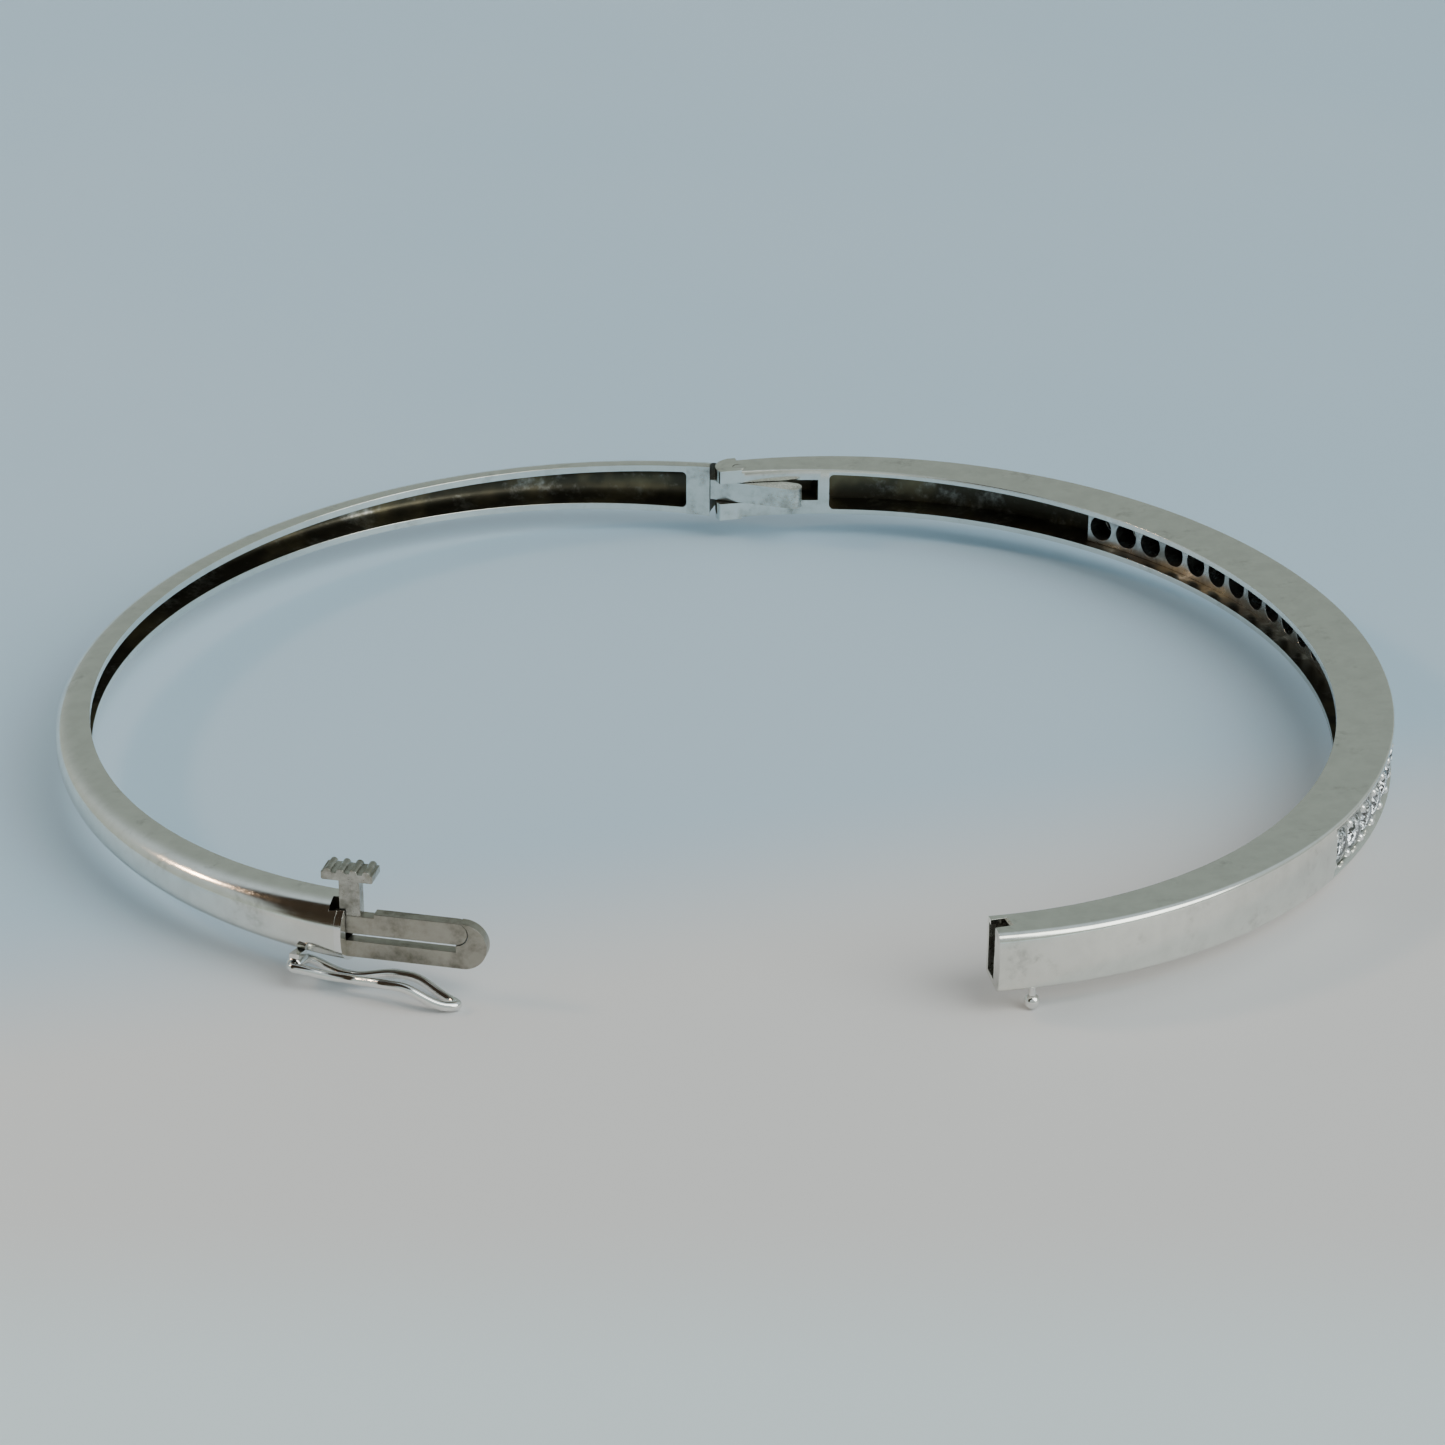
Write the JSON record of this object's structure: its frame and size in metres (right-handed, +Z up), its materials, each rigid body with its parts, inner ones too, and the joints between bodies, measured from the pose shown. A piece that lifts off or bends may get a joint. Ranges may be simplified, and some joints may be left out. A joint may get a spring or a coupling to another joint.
{
  "type": "bangle bracelet",
  "caption": "Slim oval hinged bangle with a row of bead-set round stones, a snap tongue clasp with thumb piece and a figure-eight safety catch, shown open.",
  "frame": {"origin": "axis of the hinge pin, on the flat underside of the hinge fork, with the band open as drawn", "axes": "+Z up along the hinge pin and the wrist; -Y from the hinge towards the clasp; the stone-set half is towards +X"},
  "size_m": [0.072, 0.0622, 0.0067],
  "materials": {
    "polished_metal": "polished white gold or silver with fine wear",
    "pin_metal": "polished, ends filed flush",
    "wire_metal": "bright polished small findings",
    "tongue_metal": "sawn and filed, rubbed dull by use",
    "setting_metal": "bright-cut front, tarnished back",
    "bead_metal": "burnished grains",
    "clear_stone": "faceted clear stone"
  },
  "bodies": {
    "box_half": {"box_half_shell": "polished_metal", "hinge_fork": "polished_metal", "hinge_pin": "pin_metal", "snap_box": "polished_metal", "ball_peg": "wire_metal", "stone_plate": "setting_metal", "setting_beads": "bead_metal", "stone_01": "clear_stone", "stone_02": "clear_stone", "stone_03": "clear_stone", "stone_04": "clear_stone", "stone_05": "clear_stone", "stone_06": "clear_stone", "stone_07": "clear_stone", "stone_08": "clear_stone", "stone_09": "clear_stone", "stone_10": "clear_stone", "stone_11": "clear_stone", "stone_12": "clear_stone", "stone_13": "clear_stone", "stone_14": "clear_stone", "stone_15": "clear_stone", "stone_16": "clear_stone", "stone_17": "clear_stone", "stone_18": "clear_stone", "stone_19": "clear_stone", "stone_20": "clear_stone", "stone_21": "clear_stone", "stone_22": "clear_stone", "stone_23": "clear_stone", "stone_24": "clear_stone", "stone_25": "clear_stone"},
    "tongue_half": {"tongue_half_shell": "polished_metal", "hinge_knuckle": "polished_metal", "end_block": "polished_metal", "end_plate": "polished_metal", "snap_tongue": "tongue_metal", "safety_tube": "wire_metal"},
    "thumb_leaf": {"spring_leaf": "tongue_metal", "thumb_piece": "wire_metal"},
    "catch": {"safety_catch": "wire_metal"}
  },
  "joints": [
    {"name": "band_hinge", "type": "hinge", "parent": "box_half", "child": "tongue_half", "pos_m": [0, 0, 0.0016], "axis": [0, 0, 1], "range_deg": [-35, 30.24]},
    {"name": "leaf_press", "type": "hinge", "parent": "tongue_half", "child": "thumb_leaf", "pos_m": [-0.0137, -0.05772, 0.00224], "axis": [-0.2164, -0.9763, 0], "range_deg": [0, 3], "stiffness_Nm_per_rad": 0.3},
    {"name": "catch_swing", "type": "hinge", "parent": "tongue_half", "child": "catch", "pos_m": [-0.02161, -0.05636, -0.00025], "axis": [0.2961, 0.9392, -0.1736], "range_deg": [0, 150]}
  ]
}
